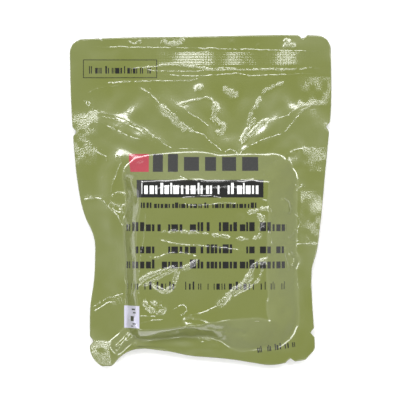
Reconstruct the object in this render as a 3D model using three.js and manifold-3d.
// A vacuum packed pouch of Z-folded hemostatic gauze, lying on its back. Two webs of printed foil film are
// heat sealed all round and sucked tight over a long gauze strip that is folded to and fro into a block.
// Millimetres, +Z up, +Y towards the opening end. The origin is at the middle of the pouch, on the surface
// that it lies on.
import * as THREE from "three";
import { mergeVertices } from "three/addons/utils/BufferGeometryUtils.js";
import Module from "manifold-3d";

const wasm = await Module();
wasm.setup();

// The pouch as it lies, and the films that it is made of.
const pouchWidth = 138.4;
const pouchHeight = 175.4;
const topCornerRadius = 7;
const bottomCornerRadius = 10;
const filmThickness = 0.4;
const sealGap = 0.25;
const notchDepth = 2;
const notchWidth = 4.2;
const nickWidth = 1.2;

// The gauze: a strip folded to and fro, its turns at the top and bottom of the block.
const gauzeWidth = 75;
const gauzeLength = 3700;
const panelLength = 81;
const blockThickness = 14.5;
const layerGap = 0.1;
const gauzeClearance = 0.3;
const sideClearance = 0.6;
const edgeCrush = 3.3;
const crushWidth = 6;
const turnSetback = 4.6;

// Where the block lies in the pouch. Its wall runs from the shoulder, inside the block's edge, to the foot
// outside it, where the films come together. wallCurve is the share of the wall that bends at each end.
const blockShiftX = 2.8;
const blockShiftY = -26.5;
const blockCorner = 4.5;
const shoulderLeft = 2.6;
const shoulderRight = 6;
const shoulderTop = 6;
const shoulderBottom = 4.5;
const footLeft = 5;
const footRight = 8.5;
const footTop = 12;
const footBottom = 8.5;
const wallCurve = 0.25;
const cornerBlend = 12;
const sealLevel = 7.2;
const sealDroop = 4.4;
const droopLength = 26;
const lowestSeam = 0.6;

// The outline of the sealed edge. The film that climbs over the block draws the edge in beside it. at is the
// share along the edge, from the top or from the left, and inset is a share of the pouch's width or height.
const leftEdge = [
  { at: 0.0, inset: 0.0 },
  { at: 0.23, inset: 0.008 },
  { at: 0.34, inset: 0.017 },
  { at: 0.495, inset: 0.039 },
  { at: 0.56, inset: 0.066 },
  { at: 0.62, inset: 0.096 },
  { at: 0.72, inset: 0.098 },
  { at: 0.82, inset: 0.08 },
  { at: 1.0, inset: 0.079 },
];
const rightEdge = [
  { at: 0.0, inset: 0.0 },
  { at: 0.25, inset: 0.0 },
  { at: 0.36, inset: 0.014 },
  { at: 0.53, inset: 0.036 },
  { at: 0.66, inset: 0.055 },
  { at: 0.72, inset: 0.073 },
  { at: 0.81, inset: 0.07 },
  { at: 0.93, inset: 0.061 },
  { at: 1.0, inset: 0.061 },
];
const topEdge = [
  { at: 0.0, inset: 0.014 },
  { at: 0.35, inset: 0.0045 },
  { at: 0.87, inset: 0.0 },
  { at: 1.0, inset: 0.003 },
];
const bottomEdge = [
  { at: 0.0, inset: 0.0 },
  { at: 0.09, inset: 0.0 },
  { at: 0.15, inset: 0.005 },
  { at: 0.21, inset: 0.0375 },
  { at: 0.28, inset: 0.0525 },
  { at: 0.39, inset: 0.043 },
  { at: 0.5, inset: 0.029 },
  { at: 0.64, inset: 0.018 },
  { at: 0.77, inset: 0.003 },
  { at: 0.92, inset: 0.018 },
  { at: 1.0, inset: 0.024 },
];

// Tear notches. edge and at say where each one is, and nick ones are narrow slits.
const notches = [
  { edge: "top", at: 0.122, nick: true },
  { edge: "top", at: 0.893, nick: false },
  { edge: "left", at: 0.291, nick: false },
  { edge: "left", at: 0.924, nick: false },
  { edge: "right", at: 0.277, nick: false },
  { edge: "right", at: 0.899, nick: false },
  { edge: "bottom", at: 0.845, nick: false },
];

// Folds that both films take together. Ends are shares of the half width and half height, bow is the share of
// the fold's length that its middle lies off the straight line, half is its half width as a share of the
// pouch's half width, and rise is a share of the block's thickness, below 0 in a valley.
const folds = [
  { name: "fan ridge, left", x0: -0.475, y0: 0.69, x1: 0.18, y1: 0.29, bow: 0.03, half: 0.13, rise: 0.12 },
  { name: "fan ridge, right", x0: 0.66, y0: 0.73, x1: 0.32, y1: 0.34, bow: 0.15, half: 0.13, rise: 0.15 },
  { name: "fan ridge, far right", x0: 0.965, y0: 0.6, x1: 0.31, y1: 0.27, bow: -0.04, half: 0.12, rise: 0.12 },
  { name: "funnel", x0: 0.24, y0: 0.72, x1: 0.24, y1: 0.3, bow: 0.0, half: 0.2, rise: -0.15 },
  { name: "pleat ridge, left", x0: -0.82, y0: 0.53, x1: -0.18, y1: 0.31, bow: -0.06, half: 0.13, rise: 0.15 },
  { name: "pleat valley, left", x0: -0.82, y0: 0.43, x1: -0.32, y1: 0.29, bow: -0.05, half: 0.12, rise: -0.1 },
  { name: "pleat ridge, right", x0: 0.52, y0: 0.27, x1: 0.82, y1: 0.36, bow: 0.0, half: 0.11, rise: 0.12 },
  { name: "pleat valley, right", x0: 0.6, y0: 0.16, x1: 0.82, y1: 0.24, bow: 0.0, half: 0.1, rise: -0.11 },
  { name: "side ridge, left", x0: -0.9, y0: 0.02, x1: -0.57, y1: -0.17, bow: 0.0, half: 0.12, rise: 0.1 },
  { name: "side valley, right", x0: 0.74, y0: 0.0, x1: 0.7, y1: -0.3, bow: 0.0, half: 0.1, rise: -0.1 },
  { name: "corner tube", x0: -0.5, y0: -0.77, x1: -0.68, y1: -0.92, bow: 0.0, half: 0.11, rise: 0.22 },
  { name: "corner valley", x0: -0.45, y0: -0.84, x1: -0.57, y1: -0.93, bow: 0.0, half: 0.09, rise: -0.18 },
  { name: "bottom valley", x0: -0.5, y0: -0.82, x1: 0.35, y1: -0.85, bow: 0.0, half: 0.08, rise: -0.2 },
];

// Broad bends of the films: reach is their radius as a share of the half width, lift a share of the block's
// thickness.
const bends = [
  { name: "top left corner", x: -0.95, y: 0.95, reach: 0.5, lift: 0.05 },
  { name: "top right corner", x: 0.95, y: 0.95, reach: 0.55, lift: 0.16 },
  { name: "top edge", x: -0.1, y: 0.98, reach: 0.45, lift: -0.06 },
  { name: "fan pocket", x: -0.02, y: 0.54, reach: 0.2, lift: 0.1 },
  { name: "left flap", x: -0.7, y: 0.62, reach: 0.35, lift: -0.08 },
  { name: "right flap", x: 0.8, y: 0.4, reach: 0.3, lift: 0.08 },
  { name: "left side", x: -0.85, y: -0.35, reach: 0.35, lift: -0.08 },
  { name: "right side", x: 0.9, y: -0.1, reach: 0.35, lift: 0.1 },
  { name: "bottom left corner", x: -0.78, y: -0.96, reach: 0.28, lift: 0.24 },
  { name: "bottom right corner", x: 0.85, y: -0.9, reach: 0.4, lift: -0.06 },
];

// Swells of the front film over the block. x and y are shares of the block's half width and half length.
const swells = [
  { name: "crown", x: 0.0, y: 0.1, reach: 1.0, lift: 0.04 },
  { name: "upper left swell", x: -0.5, y: 0.55, reach: 0.5, lift: 0.03 },
  { name: "lower middle swell", x: 0.1, y: -0.45, reach: 0.5, lift: 0.035 },
];

// Where the films' mesh lines run: how many there are in each stretch.
const cornerCells = 3;
const flapCells = 13;
const sideCells = 3;
const bottomCells = 1;
const faceCellsX = 13;
const faceCellsY = 6;

const halfWidth = pouchWidth / 2;
const halfHeight = pouchHeight / 2;
const blockHalfX = gauzeWidth / 2;
const blockHalfY = panelLength / 2;
const coverHalfX = blockHalfX + sideClearance;
const coverHalfY = blockHalfY + sideClearance;
const gauzeFloor = filmThickness + gauzeClearance;
const gauzeTop = gauzeFloor + blockThickness;
const frontLevel = gauzeTop + gauzeClearance;

// The value of a table's inset at a share along its edge, rounded between its rows.
function insetAt(rows, at) {
  const next = Math.max(1, rows.findIndex((row) => row.at >= at));
  const [a, b] = [rows[next - 1], rows[next]];
  const share = THREE.MathUtils.smoothstep(at, a.at, b.at);
  return a.inset + (b.inset - a.inset) * share;
}

// A point of the flat rectangle, moved so that the rectangle's corners are round.
function roundCorner(x, y) {
  const radius = y > 0 ? topCornerRadius : bottomCornerRadius;
  const coreX = halfWidth - radius;
  const coreY = halfHeight - radius;
  const a = Math.max(0, Math.abs(x) - coreX) / radius;
  const b = Math.max(0, Math.abs(y) - coreY) / radius;
  if (a === 0 || b === 0) return [x, y];
  return [
    Math.sign(x) * (coreX + radius * a * Math.sqrt(1 - (b * b) / 2)),
    Math.sign(y) * (coreY + radius * b * Math.sqrt(1 - (a * a) / 2)),
  ];
}

// How much of an edge's inset a point takes: all of it at the edge and none from the block on.
function pull(distance, reach) {
  const share = THREE.MathUtils.clamp(1 - distance / reach, 0, 1);
  return share * share * (3 - 2 * share);
}

// Where a point of the flat rectangle lies, seen from above, once the block has drawn the edges in.
function formedPlan(flatX, flatY) {
  const [x, y] = roundCorner(flatX, flatY);
  const down = (halfHeight - y) / pouchHeight;
  const across = (x + halfWidth) / pouchWidth;
  const left = insetAt(leftEdge, down) * pouchWidth;
  const right = insetAt(rightEdge, down) * pouchWidth;
  const top = insetAt(topEdge, across) * pouchHeight;
  const bottom = insetAt(bottomEdge, across) * pouchHeight;
  const reachLeft = halfWidth + blockShiftX - coverHalfX - footLeft;
  const reachRight = halfWidth - blockShiftX - coverHalfX - footRight;
  const reachTop = halfHeight - blockShiftY - coverHalfY - footTop;
  const reachBottom = halfHeight + blockShiftY - coverHalfY - footBottom;
  return [
    x + left * pull(x + halfWidth, reachLeft) - right * pull(halfWidth - x, reachRight),
    y + bottom * pull(y + halfHeight, reachBottom) - top * pull(halfHeight - y, reachTop),
  ];
}

// The height that one fold adds at a point: highest along its line, and fading to its ends.
function foldHeight(fold, x, y) {
  const start = new THREE.Vector2(fold.x0 * halfWidth, fold.y0 * halfHeight);
  const end = new THREE.Vector2(fold.x1 * halfWidth, fold.y1 * halfHeight);
  const along = end.clone().sub(start);
  const middle = start.clone().add(end).multiplyScalar(0.5);
  middle.add(new THREE.Vector2(along.y, -along.x).multiplyScalar(-2 * fold.bow));
  const line = new THREE.QuadraticBezierCurve(start, middle, end);
  const steps = 12;
  let nearest = Infinity;
  let where = 0;
  for (let i = 0; i <= steps; i++) {
    const p = line.getPoint(i / steps);
    const distance = Math.hypot(x - p.x, y - p.y);
    if (distance < nearest) {
      nearest = distance;
      where = i / steps;
    }
  }
  const off = nearest / (fold.half * halfWidth);
  if (off >= 1) return 0;
  const fade = THREE.MathUtils.smoothstep(Math.min(where, 1 - where), -0.12, 0.2);
  return (fold.rise * blockThickness * fade * (1 + Math.cos(Math.PI * off))) / 2;
}

// A round swell's height at a point, for a centre and a radius in millimetres.
function swellHeight(x, y, centreX, centreY, radius, lift) {
  const off = Math.min(1, Math.hypot(x - centreX, y - centreY) / radius);
  return lift * blockThickness * (1 + Math.cos(Math.PI * off)) / 2;
}

// How far down the block's wall a point lies: 0 where its shoulder starts and 1 where the films meet.
function roundWall(x, y) {
  const sideX = Math.abs(x - blockShiftX) - coverHalfX + blockCorner;
  const sideY = Math.abs(y - blockShiftY) - coverHalfY + blockCorner;
  const corner = Math.hypot(Math.max(0, sideX), Math.max(0, sideY));
  const away = corner + Math.min(0, Math.max(sideX, sideY)) - blockCorner;
  const weightX = Math.max(0.01, sideX + cornerBlend) ** 3;
  const weightY = Math.max(0.01, sideY + cornerBlend) ** 3;
  const blended = (ofX, ofY) => (ofX * weightX + ofY * weightY) / (weightX + weightY);
  const [onLeft, below] = [x < blockShiftX, y < blockShiftY];
  const shoulder = blended(onLeft ? shoulderLeft : shoulderRight, below ? shoulderBottom : shoulderTop);
  const foot = blended(onLeft ? footLeft : footRight, below ? footBottom : footTop);
  return (away + shoulder) / (shoulder + foot);
}

// The share of a film's height over the seal that is left at a point: 1 over the block, falling round its
// shoulder and straight down its side to 0 where the films meet.
function wallShare(x, y) {
  const t = THREE.MathUtils.clamp(roundWall(x, y), 0, 1);
  const toEnd = Math.min(t, 1 - t);
  const bent = toEnd < wallCurve ? toEnd ** 2 / (2 * wallCurve) : toEnd - wallCurve / 2;
  const share = bent / (1 - wallCurve);
  return t < 0.5 ? 1 - share : share;
}

// The level of the two films where they lie together.
function seamLevel(x, y) {
  const overX = Math.max(0, Math.abs(x - blockShiftX) - coverHalfX);
  const overY = Math.max(0, Math.abs(y - blockShiftY) - coverHalfY);
  let level = sealLevel - sealDroop * (1 - Math.exp(-Math.hypot(overX, overY) / droopLength));
  for (const fold of folds) level += foldHeight(fold, x, y);
  for (const b of bends) {
    level += swellHeight(x, y, b.x * halfWidth, b.y * halfHeight, b.reach * halfWidth, b.lift);
  }
  return level;
}

// Inner faces of the two films: the back film's upper face and the front film's lower face.
function backFace(x, y) {
  const lowest = filmThickness;
  const seam = Math.max(seamLevel(x, y), lowest + lowestSeam);
  return lowest + (seam - lowest) * (1 - wallShare(x, y));
}

function frontFace(x, y) {
  const seam = Math.max(seamLevel(x, y), filmThickness + lowestSeam);
  const share = wallShare(x, y);
  let level = seam + (frontLevel - seam) * share;
  for (const s of swells) {
    const centreX = blockShiftX + s.x * blockHalfX;
    const centreY = blockShiftY + s.y * blockHalfY;
    level += share * swellHeight(x, y, centreX, centreY, s.reach * blockHalfY, s.lift);
  }
  return Math.max(level, backFace(x, y) + sealGap);
}

// A film's upright thickness at a point, so that it is equally thick across its own slope.
function uprightThickness(face, x, y) {
  const step = 0.5;
  const most = 2.5;
  const slopeX = (face(x + step, y) - face(x - step, y)) / (2 * step);
  const slopeY = (face(x, y + step) - face(x, y - step)) / (2 * step);
  return filmThickness * Math.min(most, Math.hypot(1, slopeX, slopeY));
}

// Equal steps from one place up to, but not including, another.
function steps(from, to, count) {
  return Array.from({ length: count }, (_, i) => from + ((to - from) * i) / count);
}

// The films' mesh lines along one axis: close together round the corners and down the block's sides. foot and
// shoulder hold the low side's size and then the high side's, cells the low flap's, the face's and the high's.
function meshLines({ half, shift, coverHalf, foot, shoulder, cells }) {
  const low = shift - coverHalf;
  const high = shift + coverHalf;
  return [
    ...steps(-half, -half + bottomCornerRadius, cornerCells),
    ...steps(-half + bottomCornerRadius, low - foot[0], cells[0]),
    low - foot[0],
    low - foot[0] / 2,
    low,
    low + shoulder[0] / 2,
    ...steps(low + shoulder[0], high - shoulder[1], cells[1]),
    high - shoulder[1],
    high - shoulder[1] / 2,
    high,
    high + foot[1] / 2,
    ...steps(high + foot[1], half - topCornerRadius, cells[2]),
    ...steps(half - topCornerRadius, half, cornerCells),
    half,
  ];
}

// One film as a closed body: two like grids of mesh lines, joined round the rim.
function filmBody(lowerFace, upperFace) {
  const xs = meshLines({
    half: halfWidth,
    shift: blockShiftX,
    coverHalf: coverHalfX,
    foot: [footLeft, footRight],
    shoulder: [shoulderLeft, shoulderRight],
    cells: [sideCells, faceCellsX, sideCells],
  });
  const ys = meshLines({
    half: halfHeight,
    shift: blockShiftY,
    coverHalf: coverHalfY,
    foot: [footBottom, footTop],
    shoulder: [shoulderBottom, shoulderTop],
    cells: [bottomCells, faceCellsY, flapCells],
  });
  const [columns, rows] = [xs.length, ys.length];
  const position = [];
  for (const face of [lowerFace, upperFace]) {
    for (const flatY of ys) {
      for (const flatX of xs) {
        const [x, y] = formedPlan(flatX, flatY);
        position.push(x, y, face(x, y));
      }
    }
  }
  const at = (layer, column, row) => (layer * rows + row) * columns + column;
  const index = [];
  const quad = (a, b, c, d) => index.push(a, b, c, a, c, d);
  for (let r = 0; r + 1 < rows; r++) {
    for (let c = 0; c + 1 < columns; c++) {
      quad(at(1, c, r), at(1, c + 1, r), at(1, c + 1, r + 1), at(1, c, r + 1));
      index.push(at(0, c, r), at(0, c + 1, r + 1), at(0, c + 1, r));
      index.push(at(0, c, r), at(0, c, r + 1), at(0, c + 1, r + 1));
    }
  }
  for (let c = 0; c + 1 < columns; c++) {
    quad(at(0, c, 0), at(0, c + 1, 0), at(1, c + 1, 0), at(1, c, 0));
    quad(at(0, c + 1, rows - 1), at(0, c, rows - 1), at(1, c, rows - 1), at(1, c + 1, rows - 1));
  }
  for (let r = 0; r + 1 < rows; r++) {
    quad(at(0, 0, r + 1), at(0, 0, r), at(1, 0, r), at(1, 0, r + 1));
    const last = columns - 1;
    quad(at(0, last, r), at(0, last, r + 1), at(1, last, r + 1), at(1, last, r));
  }
  const body = new THREE.BufferGeometry();
  body.setAttribute("position", new THREE.Float32BufferAttribute(position, 3));
  body.setIndex(index);
  return body;
}

// Three.js geometry to a solid that can be cut, and back.
function toSolid(geometry) {
  const bare = geometry.clone();
  bare.deleteAttribute("normal");
  bare.deleteAttribute("uv");
  const merged = mergeVertices(bare, 1e-4);
  return new wasm.Manifold(
    new wasm.Mesh({
      numProp: 3,
      vertProperties: new Float32Array(merged.attributes.position.array),
      triVerts: new Uint32Array(merged.index.array),
    }),
  );
}

function toGeometry(solid) {
  const mesh = solid.getMesh();
  const geometry = new THREE.BufferGeometry();
  geometry.setAttribute("position", new THREE.BufferAttribute(new Float32Array(mesh.vertProperties), 3));
  geometry.setIndex(new THREE.BufferAttribute(new Uint32Array(mesh.triVerts), 1));
  geometry.computeVertexNormals();
  return geometry;
}

// A wedge that stands upright over an edge and cuts one tear notch out of both films.
function notchCutter({ edge, at, nick }) {
  const width = nick ? nickWidth : notchWidth;
  const shape = new THREE.Shape();
  const outside = 1.5;
  const spread = (width / 2) * (1 + outside / notchDepth);
  shape.moveTo(-notchDepth, 0);
  shape.lineTo(outside, -spread);
  shape.lineTo(outside, spread);
  shape.closePath();
  const tall = 3 * (blockThickness + sealLevel);
  const wedge = new THREE.ExtrudeGeometry(shape, { depth: tall, bevelEnabled: false });
  const flat = {
    left: [-halfWidth, halfHeight - at * pouchHeight],
    right: [halfWidth, halfHeight - at * pouchHeight],
    top: [-halfWidth + at * pouchWidth, halfHeight],
    bottom: [-halfWidth + at * pouchWidth, -halfHeight],
  }[edge];
  const turn = { left: Math.PI, right: 0, top: Math.PI / 2, bottom: -Math.PI / 2 }[edge];
  const [x, y] = formedPlan(...flat);
  wedge.rotateZ(turn);
  wedge.translate(x, y, -tall / 2);
  return toSolid(wedge);
}

function cutNotches(body) {
  let solid = toSolid(body);
  for (const notch of notches) solid = solid.subtract(notchCutter(notch));
  return toGeometry(solid);
}

// The gauze strip, folded to and fro: its outline in the YZ plane, run out across the pouch. The outer panels
// turn a little earlier than the middle ones, and the block's side edges are squeezed thinner.
function gauzeBody() {
  const panels = Math.round(gauzeLength / panelLength);
  const pitch = blockThickness / panels;
  const cloth = pitch - layerGap;
  const turnAt = (level) => {
    const fromMiddle = Math.abs(2 * level / blockThickness - 1);
    return blockHalfY - pitch - turnSetback * fromMiddle ** 3;
  };
  const right = [];
  const left = [];
  for (let panel = 0; panel < panels; panel++) {
    const bottom = panel * pitch;
    const side = panel % 2 ? -1 : 1;
    const turn = side * turnAt(bottom + pitch);
    if (panel === 0) right.push([-side * turnAt(0), 0]);
    if (panel === 0) left.push([-side * turnAt(0), cloth]);
    if (panel === panels - 1) {
      right.push([turn, side > 0 ? bottom : bottom + cloth]);
      left.push([turn, side > 0 ? bottom + cloth : bottom]);
      break;
    }
    const outer = (pitch + cloth) / 2;
    const inner = layerGap / 2;
    const centre = bottom + outer;
    const around = side > 0 ? right : left;
    const within = side > 0 ? left : right;
    around.push([turn, centre - outer], [turn + side * outer, centre], [turn, centre + outer]);
    within.push([turn, centre - inner], [turn, centre + inner]);
  }
  const outline = new THREE.Shape([...right, ...left.reverse()].map(([y, z]) => new THREE.Vector2(y, z)));
  const strip = new THREE.ExtrudeGeometry(outline, { depth: gauzeWidth, steps: 3, bevelEnabled: false });
  const place = strip.attributes.position;
  for (let i = 0; i < place.count; i++) {
    const [y, z, run] = [place.getX(i), place.getY(i), place.getZ(i)];
    const slice = Math.round((3 * run) / gauzeWidth);
    const x = [-blockHalfX, -blockHalfX + crushWidth, blockHalfX - crushWidth, blockHalfX][slice];
    const squeeze = slice === 0 || slice === 3 ? 1 - (2 * edgeCrush) / blockThickness : 1;
    const middle = blockThickness / 2;
    place.setXYZ(i, x, y, middle + (z - middle) * squeeze);
  }
  strip.translate(blockShiftX, blockShiftY, gauzeFloor);
  return toGeometry(toSolid(strip));
}

const oliveFilm = new THREE.MeshStandardMaterial({ color: 0x888f60, roughness: 0.28, metalness: 0.1 });
const gauzeCloth = new THREE.MeshStandardMaterial({ color: 0xe6e2d6, roughness: 0.95, metalness: 0 });

function named(name, geometry, material) {
  const mesh = new THREE.Mesh(geometry, material);
  mesh.name = name;
  return mesh;
}

const backFilm = filmBody(
  (x, y) => backFace(x, y) - Math.min(uprightThickness(backFace, x, y), backFace(x, y)),
  backFace,
);
const frontFilm = filmBody(frontFace, (x, y) => frontFace(x, y) + uprightThickness(frontFace, x, y));

const pouch = new THREE.Group();
pouch.add(
  named("back_film", cutNotches(backFilm), oliveFilm),
  named("gauze", gauzeBody(), gauzeCloth),
  named("front_film", cutNotches(frontFilm), oliveFilm),
);

// The pouch is centred over its origin.
const box = new THREE.Box3().setFromObject(pouch, true);
const centre = box.getCenter(new THREE.Vector3());
pouch.position.set(-centre.x, -centre.y, -box.min.z);

export default pouch;
